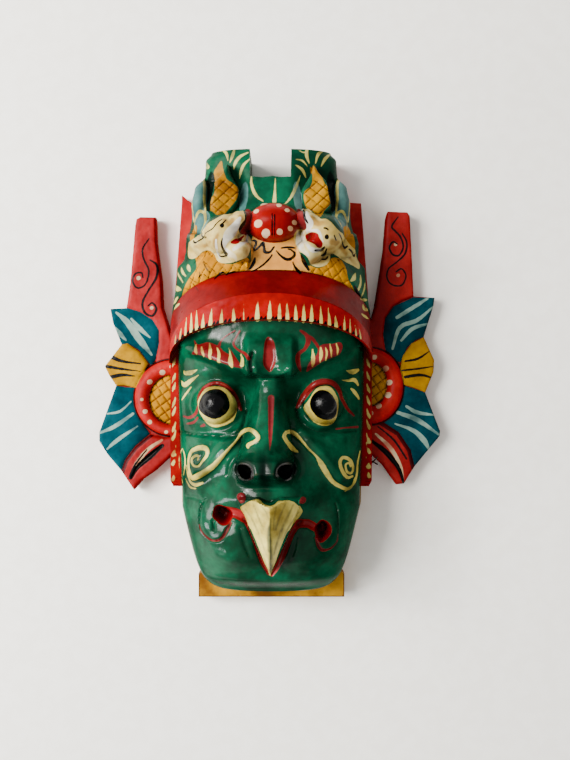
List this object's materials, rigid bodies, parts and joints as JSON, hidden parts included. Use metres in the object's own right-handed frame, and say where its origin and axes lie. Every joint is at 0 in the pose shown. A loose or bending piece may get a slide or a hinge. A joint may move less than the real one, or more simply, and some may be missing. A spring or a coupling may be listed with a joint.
{
  "type": "carved and painted wooden mask",
  "caption": "Carved wooden guardian mask with a beaked green face, a dragon crown and pierced nostrils, hollow behind, with feathered boards at its sides.",
  "frame": {"origin": "centre of the bounding box in the plane of the rear rim, on which the mask lies", "axes": "+X to the right of a viewer who faces the mask, +Y from the chin to the crown, +Z out of the face"},
  "size_m": [0.2352, 0.3, 0.1044],
  "materials": {
    "head_wood": "carved, with glossy green, red, yellow and cream paint",
    "board_wood": "carved, with matt red, blue and yellow paint",
    "wire": "dull dark iron wire"
  },
  "bodies": {
    "root": {"mask_head": "head_wood", "side_board_left": "board_wood", "side_board_right": "board_wood", "tie_wire": "wire"}
  },
  "joints": []
}
